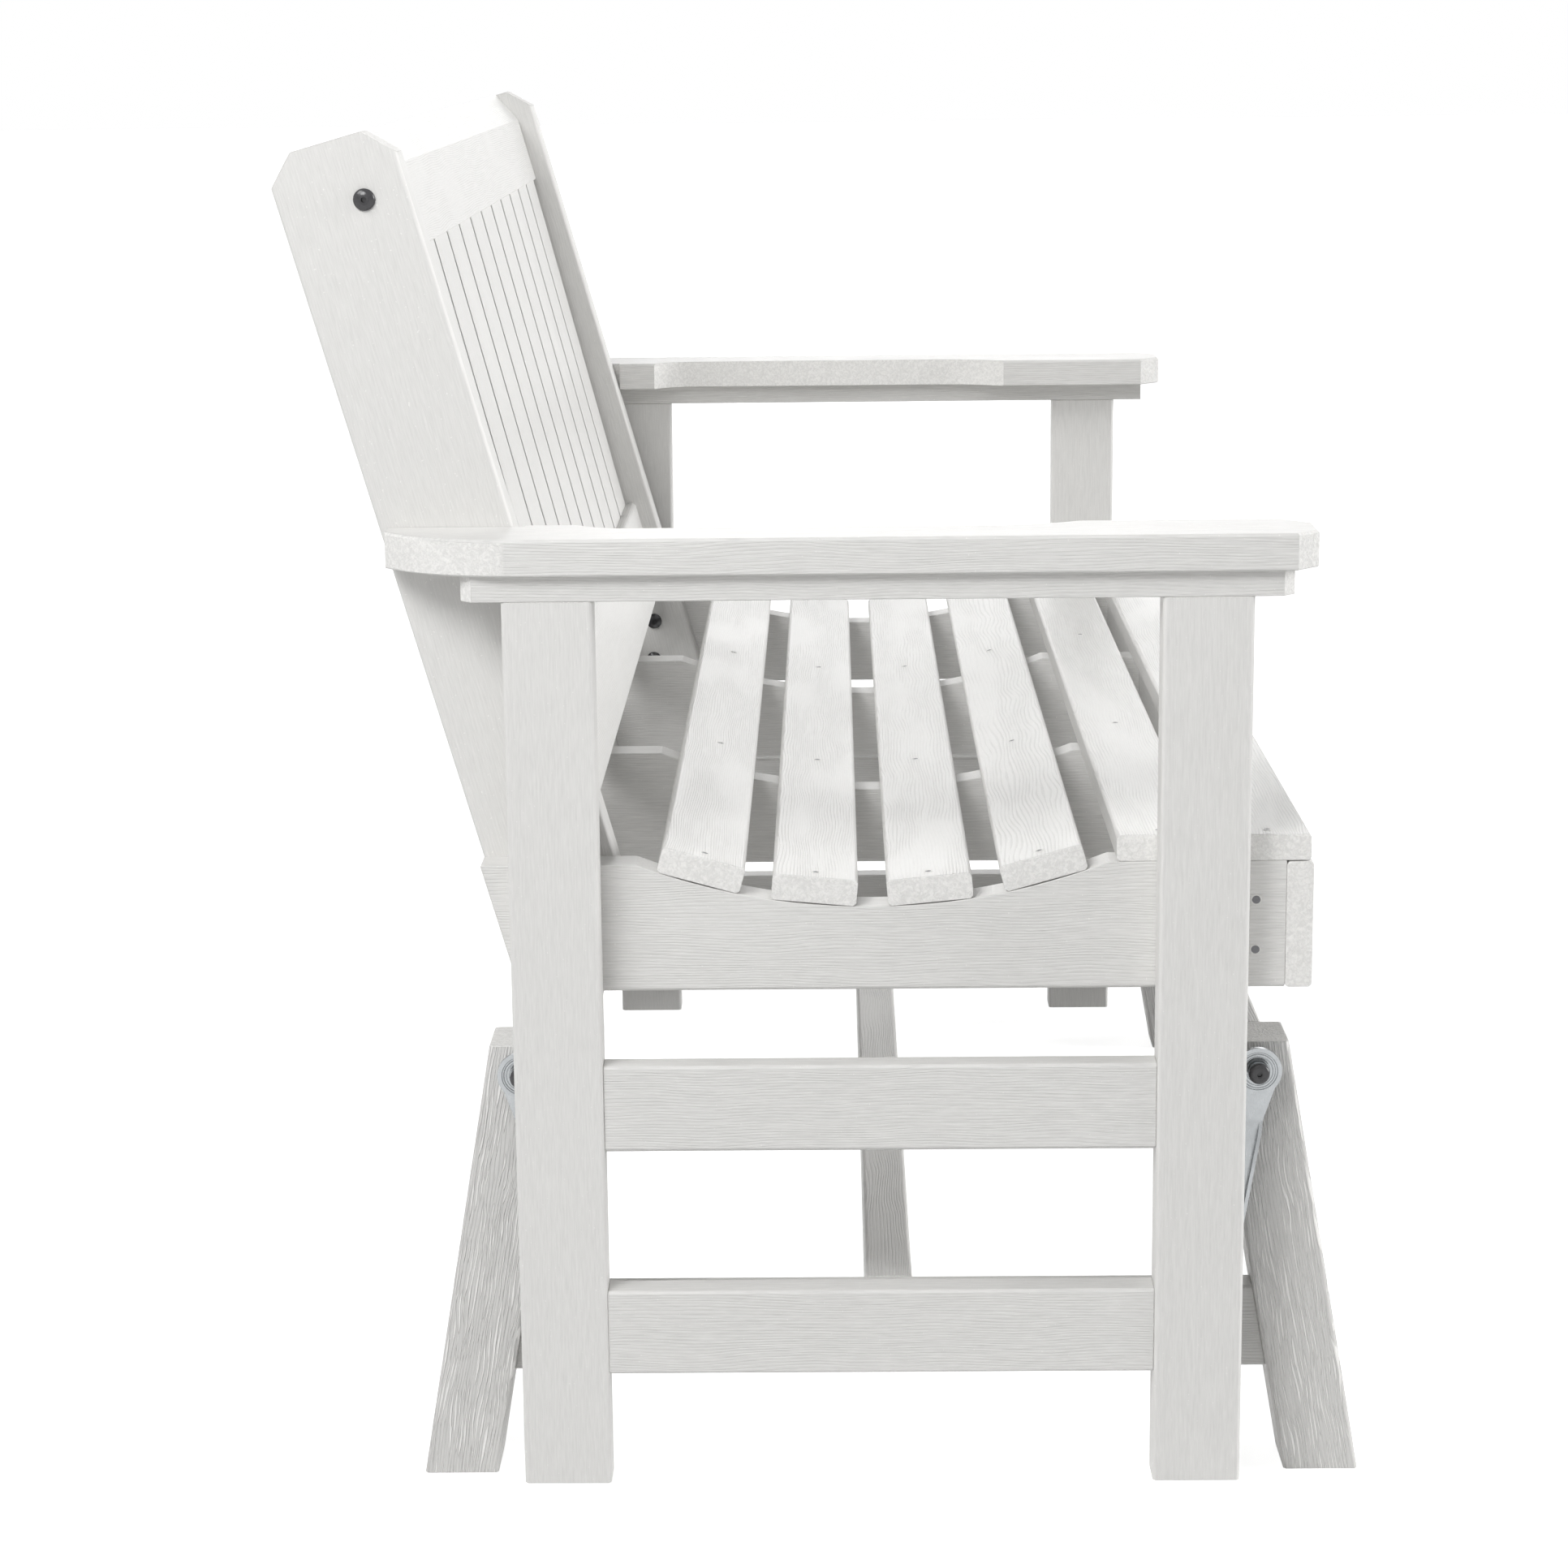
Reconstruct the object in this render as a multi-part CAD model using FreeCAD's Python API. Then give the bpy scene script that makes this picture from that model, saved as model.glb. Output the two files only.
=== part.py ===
import FreeCAD, Part
import math
import os

# Glider bench: a slatted seat with arms and a high back, hung on four steel
# glider arms from a low base that stays still. Millimetres. X runs along the
# bench, the front faces -Y, +Z is up, the ground is z = 0 and the origin is
# the middle of the footprint. The left side is the -X side.

# Overall sizes
seat_length = 1193.0        # seat slats, end to end
ground_gap = 19.3           # ground to the feet of the moving posts
seat_flat = 470.1           # ground to the flat ends of the rails' top edge
rail_h = 91.6               # height of the seat rails at their flat ends
post_over = 191.5           # top of the posts above seat_flat

# Boards
board = 28.5                # thickness of posts, seat rails, stiles, back rails
board_w = 62.4              # width of posts, stretchers and base rails
mid_t = 25.4                # thickness of low stretchers and base rails
thin_t = 22.0               # thickness of the moving upper stretchers
slat_t = 19.0               # thickness of seat slats and apron
slat_w = 60.0               # width of a seat slat
ease = 2.0                  # bevel of the eased long edges

# Base
base_y = -37.0              # middle of the base, front to back
leg_span = 687.4            # front foot to rear foot, outside
leg_t = 50.0                # thickness of a leg
leg_w = 54.4                # level width of a leg
leg_h = 328.3               # height of a leg
leg_lean = 9.8              # lean of a leg, degrees
side_gap = 35.5             # room for the glider arms between leg and post
low_z = 76.0                # underside of the base's low stretchers and beam
beam_w = 34.5               # thickness of the centre beam
top_rail_in = 247.6         # near face of a base top rail from base_y
str_drop = 22.3             # base upper stretchers below the tops of the legs

# Glider linkage
pivot_drop = 16.3           # upper pivots below the tops of the legs
pivot_half = 262.7          # upper pivots from base_y
arm_len = 178.0             # pivot to pivot
arm_splay = 30.0            # a lower pivot stands this much nearer to base_y
strap_t = 2.5               # sheet of a glider arm
strap_w = 21.0              # width of the arm between its cups
flange_h = 7.0              # height of its folded edges
flange_from = 33.0          # folded edges start this far from a pivot
rim_r = 17.1                # outside of a cup's rim
lip_r = 14.0                # inside of a cup's rim
race_r = 11.5               # outside of a bearing
cup_r = 13.5                # outside of a cup's body
cup_depth = 10.5            # cup body beyond the strap
rim_h = 1.5                 # rim above the strap
shoulder_r = 6.0            # bolt shoulder inside a bearing
run_fit = 0.05              # running clearance of a bearing on its shoulder
open_fit = 3.1              # clearance at the rear lower pivots
bearing_set = 1.5           # bearing face below the strap's outer face
collar_gap = 0.3            # play between a bearing and the bolt's collars
collar_r = 9.0              # hexagonal inner collar, to its corners

# Moving frame
front_post_y = -255.2       # middle of the front posts
rear_post_y = 195.6         # middle of the rear posts
upper_str_z = 268.3         # underside of the moving upper stretchers
lower_str_z = 102.0         # underside of the moving lower stretchers
rail_front = -315.2         # front end of the side rails
cross_front = -308.3        # front face of the front cross rail
rib_in = 392.5              # middle of a seat rib from a post's inner face
scoop_y = -25.5             # middle of the seat's scoop
scoop_drop = 31.2           # depth of the scoop below seat_flat
scoop_r = 454.0             # radius of the scoop
scoop_step = 10.45          # step between the scooped slats, degrees
slat5_y = -226.3            # middle of the fifth slat
slat6_y = -302.2            # middle of the front slat
apron_drop = 0.6            # top of the apron below seat_flat

# Armrests
support_h = 18.5            # thickness of the strip under an armrest
support_front = -313.9
support_rear = 254.7
arm_h = 25.4                # thickness of an armrest
arm_w = 71.5                # width of an armrest
arm_over = 7.5              # armrest past the outside of the posts
arm_front = -330.0
arm_rear = 309.0
arm_clip = 16.0             # clipped outer front corner
arm_clip_in = 19.5          # clipped inner front corner
arm_cut_y = 221.0           # start of the curved rear corner
arm_tip = 20.2              # width left at the rear end
arm_ease = 1.8              # bevel of the top edges of an armrest
arm_bevel = 1.0             # bevel of its bottom edges
recess = 20.0               # hand recess in the inner edge
recess_front = -173.0
recess_rear = 179.0
recess_run_f = 65.0         # length of the recess' curved front end
recess_run_r = 37.0         # length of its curved rear end
fit = 0.3                   # gap where a board passes another

# Back
back_lean = 15.7            # degrees
stile_y = 155.2             # front edge of the stiles at seat_flat
stile_w = 90.5              # width of a stile
stile_top = 531.5           # stile above seat_flat, measured along it
clip = 20.0                 # clipped corners of a stile's top
back_rail_w = 88.9          # width of the two back rails
back_set = 16.3             # back rails behind the stiles' front edge
top_set = 17.0              # top rail behind the stiles' front edge
top_fall = 14.0             # depth of the bevel along its top front edge
top_bevel = 28.5            # height of that bevel
low_rail_u = 18.6           # underside of the lower back rail above seat_flat
low_round = 5.0             # rounded top edge of the lower back rail
cross_back = 64.5           # rear cross rail behind the stiles' front edge
slats_n = 12                # back slats
slat_gap = 11.0             # gap between two back slats
back_slat_t = 16.0          # thickness of a back slat
slat_set_top = 19.2         # back slats behind the stiles' front edge, at top
slat_set_low = 25.5         # the same at the bottom
groove = 10.0               # depth of the pockets for the back slats
tongue = 8.5                # back slat in its pocket
pocket_fit = 0.2

# Bolts
bolt_head_r = 7.6
bolt_head_h = 4.0
bolt_r = 3.2
pivot_r = 4.2               # thread of the pivot bolts
pivot_head = 25.0           # leg or post face to the underside of the head
pivot_thread = 28.0         # thread of an upper pivot bolt beyond its leg
pivot_grip = 22.0           # thread of a lower pivot bolt in its post
leg_head_r = 5.2            # flat heads of the leg bolts
leg_head_h = 0.7
leg_bolt_drop = 28.3        # upper leg bolts below the tops of the legs
leg_bolt_rise = 55.0        # lower leg bolts above low_z
leg_bolt_l = 92.0
frame_bolt_l = 46.0
stile_bolt_v1 = 32.6        # upper stile bolt behind the stile's front edge
stile_bolt_d1 = 14.8        # and below seat_flat, along the stile
stile_bolt_v2 = 44.0        # lower stile bolt
stile_bolt_d2 = 52.6
post_bolt_d1 = 30.1         # bolts into the front posts below seat_flat
post_bolt_d2 = 65.1
head_sides = 12             # few faces, as these small parts repeat
shank_sides = 6
pivot_sides = 24

# Values that follow from the sizes
X = FreeCAD.Vector(1, 0, 0)
Y = FreeCAD.Vector(0, 1, 0)
Z = FreeCAD.Vector(0, 0, 1)
post_top = seat_flat + post_over        # ground to the top of the posts
rail_bottom = seat_flat - rail_h        # underside of the seat rails
scoop_z = seat_flat - scoop_drop        # lowest point of the scoop
in_x = seat_length / 2                  # inner face of the posts
rib_x = in_x - rib_in
out_x = in_x + board
leg_x1 = in_x - side_gap                # outer face of the legs
leg_x0 = leg_x1 - leg_t
mid_leg_x = leg_x1 - leg_t / 2
rail_x = in_x - board                   # inner face of the side rails
stile_x = rail_x - board                # inner face of the stiles
back_pitch = 2 * stile_x / slats_n      # step of the back slats
back_slat_w = back_pitch - slat_gap
pivot_z = leg_h - pivot_drop            # height of the upper pivots
lean = math.radians(back_lean)
arm_z = post_top + support_h
leg_k = math.tan(math.radians(leg_lean))
swing_rest = math.degrees(math.asin(arm_splay / arm_len))
low_pivot_z = pivot_z - math.sqrt(arm_len ** 2 - arm_splay ** 2)
strap_mid = side_gap / 2                # middle of the strap from the leg
scoop_centre_z = scoop_z + scoop_r
scoop_half = math.sqrt(scoop_r ** 2 - (scoop_centre_z - seat_flat) ** 2)

nodes = {}


def vec(x, y, z):
    return FreeCAD.Vector(x, y, z)


def block(x0, x1, y0, y1, z0, z1):
    return Part.makeBox(x1 - x0, y1 - y0, z1 - z0, vec(x0, y0, z0))


# Straight edges of the shape that run along a way, those for which keep
# holds, are bevelled, or rounded where round is true
def eased(shape, along, size=ease, keep=None, rounded=False):
    edges = []
    for edge in shape.Edges:
        if not isinstance(edge.Curve, Part.Line):
            continue
        way = edge.tangentAt(edge.FirstParameter)
        if abs(abs(way.dot(along)) - along.Length) > 1e-4:
            continue
        if keep is None or keep(edge.CenterOfMass):
            edges.append(edge)
    if rounded:
        return shape.makeFillet(size, edges)
    return shape.makeChamfer(size, edges)


def side_prism(points, x0, x1):
    corners = [vec(x0, y, z) for y, z in points]
    face = Part.Face(Part.makePolygon(corners + [corners[0]]))
    return face.extrude(vec(x1 - x0, 0, 0))


def mirrored(shape):
    return shape.mirror(vec(0, 0, 0), X)


def both_sides(name, shape):
    nodes[name + "_right"] = shape
    nodes[name + "_left"] = mirrored(shape)


def cut(names, tools):
    for name in names:
        for tool in tools:
            nodes[name] = nodes[name].cut(tool)


def rod(radius, at, way, length):
    return Part.makeCylinder(radius, length, at, way)


# Point of the leaning back: v from the stiles' front edge, u up along it
def back_point(v, u):
    y = stile_y + v * math.cos(lean) + u * math.sin(lean)
    return (y, seat_flat - v * math.sin(lean) + u * math.cos(lean))


def back_level(v, z):
    u = (z - seat_flat + v * math.sin(lean)) / math.cos(lean)
    return back_point(v, u)


back_up = vec(0, math.sin(lean), math.cos(lean))
back_out = vec(0, math.cos(lean), -math.sin(lean))


# Many sided rod from at along way
def sided_rod(sides, radius, at, way, length):
    side = X if abs(way.dot(X)) < 0.5 else Z
    other = way.cross(side)
    corners = []
    for i in range(sides + 1):
        turn = math.radians(360 / sides * (i + 0.5))
        corners.append(at + side * (radius * math.cos(turn))
                       + other * (radius * math.sin(turn)))
    return Part.Face(Part.makePolygon(corners)).extrude(way * length)


# Bolt: at is where its head meets the board, way points inward
def bolt(at, way, length, head_r=bolt_head_r, head_h=bolt_head_h):
    head = sided_rod(head_sides, head_r, at, way * -1, head_h)
    return head.fuse(sided_rod(shank_sides, bolt_r, at, way, length))


# Base: legs, stretchers, top rails and centre beam
foot = leg_span / 2


def leg(side):
    outline = []
    for level, inset in ((0, 0), (leg_h, 0), (leg_h, leg_w), (0, leg_w)):
        y = base_y + side * (foot - inset - level * leg_k)
        outline.append((y, level))
    shape = side_prism(outline, leg_x0, leg_x1)
    way = vec(0, -side * leg_k, 1)
    return eased(shape, way.normalize())


# Base board between the inner edges of the front and the rear legs
def between_legs(z0, x0, x1):
    outline = []
    for side in (-1, 1):
        low = base_y + side * (foot - leg_w - z0 * leg_k)
        high = base_y + side * (foot - leg_w - (z0 + board_w) * leg_k)
        ends = [(low, z0), (high, z0 + board_w)]
        outline += ends if side < 0 else ends[::-1]
    return eased(side_prism(outline, x0, x1), Y)


both_sides("base_leg_front", leg(-1))
both_sides("base_leg_rear", leg(1))
str_x0 = mid_leg_x - mid_t / 2
str_x1 = mid_leg_x + mid_t / 2
upper = between_legs(leg_h - board_w - str_drop, str_x0, str_x1)
lower = between_legs(low_z, str_x0, str_x1)
both_sides("base_upper_stretcher", upper)
both_sides("base_lower_stretcher", lower)
for name, side in (("front", -1), ("rear", 1)):
    far = base_y + side * (top_rail_in + mid_t)
    near = far - side * mid_t
    rail = block(-leg_x0, leg_x0, min(near, far), max(near, far),
                 leg_h - board_w, leg_h)
    nodes["base_top_rail_" + name] = eased(rail, X)
beam = block(-str_x0, str_x0, base_y - beam_w / 2, base_y + beam_w / 2,
             low_z, low_z + board_w)
nodes["base_centre_beam"] = eased(beam, X)

# Moving frame: posts, stretchers, arm supports
half_w = board_w / 2
for name, y in (("front", front_post_y), ("rear", rear_post_y)):
    post = block(in_x, out_x, y - half_w, y + half_w, ground_gap, post_top)
    both_sides("seat_post_" + name, eased(post, Z))
str_front = front_post_y + half_w
str_rear = rear_post_y - half_w
post_mid_x = in_x + board / 2
for name, z, t in (("upper", upper_str_z, thin_t),
                   ("lower", lower_str_z, mid_t)):
    bar = block(post_mid_x - t / 2, post_mid_x + t / 2,
                str_front, str_rear, z, z + board_w)
    both_sides("end_" + name + "_stretcher", eased(bar, Y))
strip = block(in_x, out_x, support_front, support_rear, post_top, arm_z)
both_sides("arm_support", eased(strip, Z, 8.0, lambda p: p.x > post_mid_x))


# Scooped board of the seat frame, from y0 to the leaning line v behind
def scooped(x0, x1, y0, v):
    a = vec(x0, scoop_y - scoop_half, seat_flat)
    b = vec(x0, scoop_y, scoop_z)
    c = vec(x0, scoop_y + scoop_half, seat_flat)
    top = back_level(v, seat_flat)
    low = back_level(v, rail_bottom)
    lines = [
        Part.makeLine(vec(x0, y0, rail_bottom), vec(x0, y0, seat_flat)),
        Part.makeLine(vec(x0, y0, seat_flat), a),
        Part.Arc(a, b, c).toShape(),
        Part.makeLine(c, vec(x0, top[0], seat_flat)),
        Part.makeLine(vec(x0, top[0], seat_flat), vec(x0, low[0], rail_bottom)),
        Part.makeLine(vec(x0, low[0], rail_bottom), vec(x0, y0, rail_bottom)),
    ]
    face = Part.Face(Part.Wire(lines))
    shape = face.extrude(vec(x1 - x0, 0, 0))
    return eased(shape, Y, ease, lambda p: p.z < rail_bottom + 1)


both_sides("side_rail", scooped(rail_x, in_x, rail_front, stile_w))
rib = scooped(rib_x - board / 2, rib_x + board / 2, cross_front + board,
              cross_back)
both_sides("seat_rib", rib)
apron = block(-in_x, in_x, rail_front - slat_t, rail_front,
              rail_bottom, seat_flat - apron_drop)
nodes["front_apron"] = eased(apron, X, ease)
cross = block(-rail_x, rail_x, cross_front, cross_front + board,
              rail_bottom, seat_flat)
nodes["front_cross_rail"] = eased(cross, X, ease,
                                  lambda p: p.z < rail_bottom + 1)
rear = [back_level(cross_back, rail_bottom), back_level(cross_back, seat_flat),
        back_level(stile_w, seat_flat), back_level(stile_w, rail_bottom)]
nodes["rear_cross_rail"] = side_prism(rear, -stile_x, stile_x)

# Seat slats, number 1 at the back; four of them lie in the scoop
flat_r = math.sqrt(scoop_r ** 2 - (slat_w / 2 - ease) ** 2)
slat_tops = []              # middle of each slat's top, and its downward way
for i in range(6):
    slat = block(-in_x, in_x, -slat_w / 2, slat_w / 2, 0, slat_t)
    slat = eased(slat, X)
    if i < 4:
        turn = scoop_step * (1.5 - i)
        way = vec(0, math.sin(math.radians(turn)),
                  -math.cos(math.radians(turn)))
        at = vec(0, scoop_y, scoop_centre_z) + way * flat_r
        slat.rotate(vec(0, 0, 0), X, turn)
    else:
        way = vec(0, 0, -1)
        at = vec(0, slat5_y if i == 4 else slat6_y, seat_flat)
    slat.translate(at)
    nodes["seat_slat_%d" % (i + 1)] = slat
    slat_tops.append((at - way * slat_t, way))


# Arc that leaves the line x = flat at y0 and is off it by depth, towards -X,
# when it gets to y1
def falling_arc(flat, depth, y0, y1):
    run = abs(y1 - y0)
    radius = (depth ** 2 + run ** 2) / (2 * depth)
    mid = flat - radius + math.sqrt(radius ** 2 - run ** 2 / 4)
    return Part.Arc(vec(flat, y0, 0), vec(mid, (y0 + y1) / 2, 0),
                    vec(flat - depth, y1, 0)).toShape()


# Armrest: seen from above, right side
def armrest():
    x1 = out_x + arm_over
    x0 = x1 - arm_w
    notch_x = rail_x + fit
    notch_y = back_level(0, arm_z)[0] - fit
    x2 = notch_x + arm_tip
    x3 = x0 + recess
    cut_f = recess_front + recess_run_f
    cut_r = recess_rear - recess_run_r
    front = [(x0, recess_front), (x0, arm_front + arm_clip_in),
             (x0 + arm_clip_in, arm_front), (x1 - arm_clip, arm_front),
             (x1, arm_front + arm_clip), (x1, arm_cut_y)]
    rear = [(x2, arm_rear), (notch_x, arm_rear), (notch_x, notch_y),
            (x0, notch_y), (x0, recess_rear)]
    sides = []
    for row in (front, rear, [(x3, cut_r), (x3, cut_f)]):
        corners = [vec(x, y, 0) for x, y in row]
        sides += [Part.makeLine(a, b) for a, b in zip(corners, corners[1:])]
    sides.append(falling_arc(x1, x1 - x2, arm_cut_y, arm_rear))
    sides.append(falling_arc(x3, recess, cut_r, recess_rear))
    sides.append(falling_arc(x3, recess, cut_f, recess_front))
    wire = Part.Wire(Part.__sortEdges__(sides))
    shape = Part.Face(wire).extrude(vec(0, 0, arm_h))

    # Straight top or bottom edges that aren't in the notch or the recess
    def rim(solid, level):
        found = []
        for edge in solid.Edges:
            p = edge.CenterOfMass
            if abs(p.z - level) > 0.01 or p.y > arm_cut_y - 1:
                continue
            if p.x > x1 - arm_clip or p.y < arm_front + arm_clip_in:
                found.append(edge)
            elif p.x < x0 + 0.01:
                found.append(edge)
        return found

    shape = shape.makeChamfer(arm_ease, rim(shape, arm_h))
    shape = shape.makeChamfer(arm_bevel, rim(shape, 0))
    shape.translate(vec(0, 0, arm_z))
    return shape


both_sides("armrest", armrest())

# Back: stiles, two rails and the slats let into them
outline = [back_level(0, rail_bottom), back_point(0, stile_top - clip),
           back_point(clip, stile_top), back_point(stile_w - clip, stile_top),
           back_point(stile_w, stile_top - clip),
           back_level(stile_w, rail_bottom)]
both_sides("back_stile", eased(side_prism(outline, stile_x, rail_x), back_up))

top_u = stile_top - back_rail_w
outline = [back_point(top_set, top_u),
           back_point(top_set, stile_top - top_bevel),
           back_point(top_set + top_fall, stile_top),
           back_point(top_set + board, stile_top),
           back_point(top_set + board, top_u)]
top_rail = side_prism(outline, -stile_x, stile_x)
outline = [back_point(back_set, low_rail_u),
           back_point(back_set, low_rail_u + back_rail_w),
           back_point(back_set + board, low_rail_u + back_rail_w),
           back_point(back_set + board, low_rail_u)]
low_rail = side_prism(outline, -stile_x, stile_x)
ledge_y = back_point(back_set, low_rail_u + back_rail_w)[0]
low_rail = eased(low_rail, X, low_round, lambda p: abs(p.y - ledge_y) < 1,
                 True)
low_top_u = low_rail_u + back_rail_w


# Back slat standing on the groove lines, grown on all sides by more
def back_slat(x, reach, more):
    span = top_u - low_top_u
    k = (slat_set_top - slat_set_low) / span
    u0 = low_top_u - reach
    u1 = top_u + reach
    v0 = slat_set_low - reach * k
    v1 = slat_set_top + reach * k
    pts = [back_point(v0 - more, u0), back_point(v1 - more, u1),
           back_point(v1 + back_slat_t + more, u1),
           back_point(v0 + back_slat_t + more, u0)]
    half = back_slat_w / 2 + more
    shape = side_prism(pts, x - half, x + half)
    way = vec(0, pts[1][0] - pts[0][0], pts[1][1] - pts[0][1])
    return eased(shape, way.normalize())


for i in range(slats_n):
    x = (i - (slats_n - 1) / 2) * back_pitch
    pocket = back_slat(x, groove, pocket_fit)
    top_rail = top_rail.cut(pocket)
    low_rail = low_rail.cut(pocket)
    nodes["back_slat_%02d" % (i + 1)] = back_slat(x, tongue, 0)
nodes["back_top_rail"] = top_rail
nodes["back_lower_rail"] = low_rail


# Glider arm, right side. The upper pivot is the local origin and the arm
# hangs straight down; t is measured from the leg towards the post.
def ring(points, z):
    wire = Part.makePolygon([vec(leg_x1 + t, r, z)
                             for t, r in points + [points[0]]])
    return Part.Face(wire).revolve(vec(0, 0, z), X, 360)


# Pressed cup with its bearing, open towards the side that it faces
def cup(z, facing, bore):
    t0 = strap_t / 2
    shell = [(t0 + rim_h, rim_r), (t0 + rim_h, lip_r),
             (t0 - bearing_set, race_r), (t0 - bearing_set, bore),
             (-t0 - cup_depth, bore), (-t0 - cup_depth, cup_r),
             (-t0, rim_r)]
    return ring([(strap_mid + facing * t, r) for t, r in shell], z)


def glider_arm(lower_bore):
    x0 = leg_x1 + strap_mid - strap_t / 2
    half = strap_w / 2
    a = rim_r * 0.86
    b = rim_r * 0.5
    waist = [(-a, -b), (-half, -flange_from), (-half, flange_from - arm_len),
             (-a, b - arm_len), (a, b - arm_len),
             (half, flange_from - arm_len), (half, -flange_from), (a, -b)]
    plate = side_prism(waist, x0, x0 + strap_t)
    for z in (0, -arm_len):
        plate = plate.fuse(rod(rim_r, vec(x0, 0, z), X, strap_t))
    for side in (-1, 1):
        y = side * half - (strap_t if side > 0 else 0)
        wall = [(-flange_from, 0), (-flange_from - 12, flange_h),
                (flange_from + 12 - arm_len, flange_h),
                (flange_from - arm_len, 0)]
        corners = [vec(x0 + h, y, z) for z, h in wall]
        face = Part.Face(Part.makePolygon(corners + [corners[0]]))
        plate = plate.fuse(face.extrude(vec(0, strap_t, 0)))
    for z in (0, -arm_len):
        plate = plate.cut(rod(rim_r - 1, vec(x0 - 1, 0, z), X, strap_t + 2))
    upper_cup = cup(0, 1, shoulder_r + run_fit)
    lower_cup = cup(-arm_len, -1, lower_bore)
    return plate.fuse([upper_cup, lower_cup]).removeSplitter()


# Shoulder bolt of a pivot, with a hexagonal collar behind the cup and a round
# one under its head; at is on the face it is screwed into, way points out
def pivot_bolt(at, way, length):
    t0 = strap_t / 2
    behind = strap_mid - t0 - cup_depth - collar_gap
    before = strap_mid + t0 - bearing_set + collar_gap
    top = pivot_head + bolt_head_h
    shoulder = rod(shoulder_r, at, way, before)
    head = sided_rod(pivot_sides, bolt_head_r, at + way * before, way,
                     top - before)
    collar = sided_rod(6, collar_r, at, way, behind)
    thread = sided_rod(shank_sides, pivot_r, at, way * -1, length)
    return shoulder.fuse([head, collar, thread]).removeSplitter()


upper_bolts = []
lower_bolts = []
for name, side in (("front", -1), ("rear", 1)):
    y = base_y + side * pivot_half
    low_y = y - side * arm_splay
    lower_fit = run_fit if side < 0 else open_fit
    arm = glider_arm(shoulder_r + lower_fit)
    arm.rotate(vec(0, 0, 0), X, -side * swing_rest)
    arm.translate(vec(0, y, pivot_z))
    both_sides("glider_arm_" + name, arm)
    up = pivot_bolt(vec(leg_x1, y, pivot_z), X, leg_t + pivot_thread)
    down = pivot_bolt(vec(in_x, low_y, low_pivot_z), X * -1,
                      pivot_grip)
    for piece, group in ((up, upper_bolts), (down, lower_bolts)):
        group += [piece, mirrored(piece)]
cut(["base_leg_front_right", "base_leg_front_left", "base_leg_rear_right",
     "base_leg_rear_left", "base_top_rail_front", "base_top_rail_rear"],
    upper_bolts)
cut(["seat_post_front_right", "seat_post_front_left", "seat_post_rear_right",
     "seat_post_rear_left"], lower_bolts)
nodes["upper_pivot_bolts"] = Part.makeCompound(upper_bolts)
nodes["lower_pivot_bolts"] = Part.makeCompound(lower_bolts)


# Fasteners of the right side, cut into the boards they hold on both sides
def fasten(group, pieces, names):
    left = [mirrored(p) for p in pieces]
    cut([n for n in names if not n.endswith("_left")], pieces)
    cut([n.replace("_right", "_left") for n in names
         if n.endswith("_right")], left)
    cut([n for n in names if not n.endswith("_right")], left)
    group += pieces + left


leg_bolts = []
for name, side in (("front", -1), ("rear", 1)):
    way = vec(0, -side * math.cos(math.radians(leg_lean)),
              -math.sin(math.radians(leg_lean)))
    for z, level in ((leg_h - leg_bolt_drop, "upper"),
                     (low_z + leg_bolt_rise, "lower")):
        at = vec(mid_leg_x, base_y + side * (foot - z * leg_k), z)
        fasten(leg_bolts, [bolt(at, way, leg_bolt_l, leg_head_r, leg_head_h)],
               ["base_leg_" + name + "_right",
                "base_" + level + "_stretcher_right"])
nodes["base_leg_bolts"] = Part.makeCompound(leg_bolts)

# Frame bolts: from inside through the stiles and side rails, from inside
# through the side rails into the front posts, and into the back rails
frame_bolts = []
for y, z in (back_point(stile_bolt_v1, -stile_bolt_d1),
             back_point(stile_bolt_v2, -stile_bolt_d2)):
    fasten(frame_bolts, [bolt(vec(stile_x, y, z), X, frame_bolt_l)],
           ["back_stile_right", "side_rail_right"])
for z in (seat_flat - post_bolt_d2, seat_flat - post_bolt_d1):
    fasten(frame_bolts, [bolt(vec(rail_x, front_post_y, z), X, frame_bolt_l)],
           ["side_rail_right", "seat_post_front_right"])
for v, u, node in ((top_set, top_u, "back_top_rail"),
                   (back_set, low_rail_u, "back_lower_rail")):
    y, z = back_point(v + board / 2, u + back_rail_w / 2)
    fasten(frame_bolts, [bolt(vec(rail_x, y, z), X * -1, frame_bolt_l)],
           ["back_stile_right", node])
nodes["frame_bolts"] = Part.makeCompound(frame_bolts)

os.makedirs("parts", exist_ok=True)
for name, shape in nodes.items():
    shape.exportStep("parts/%s.step" % name)
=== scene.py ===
import math

import bmesh
import bpy
import numpy as np
from bpy.props import (
    FloatProperty,
    FloatVectorProperty,
    IntProperty,
    PointerProperty,
)
from mathutils import Matrix, Vector


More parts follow.
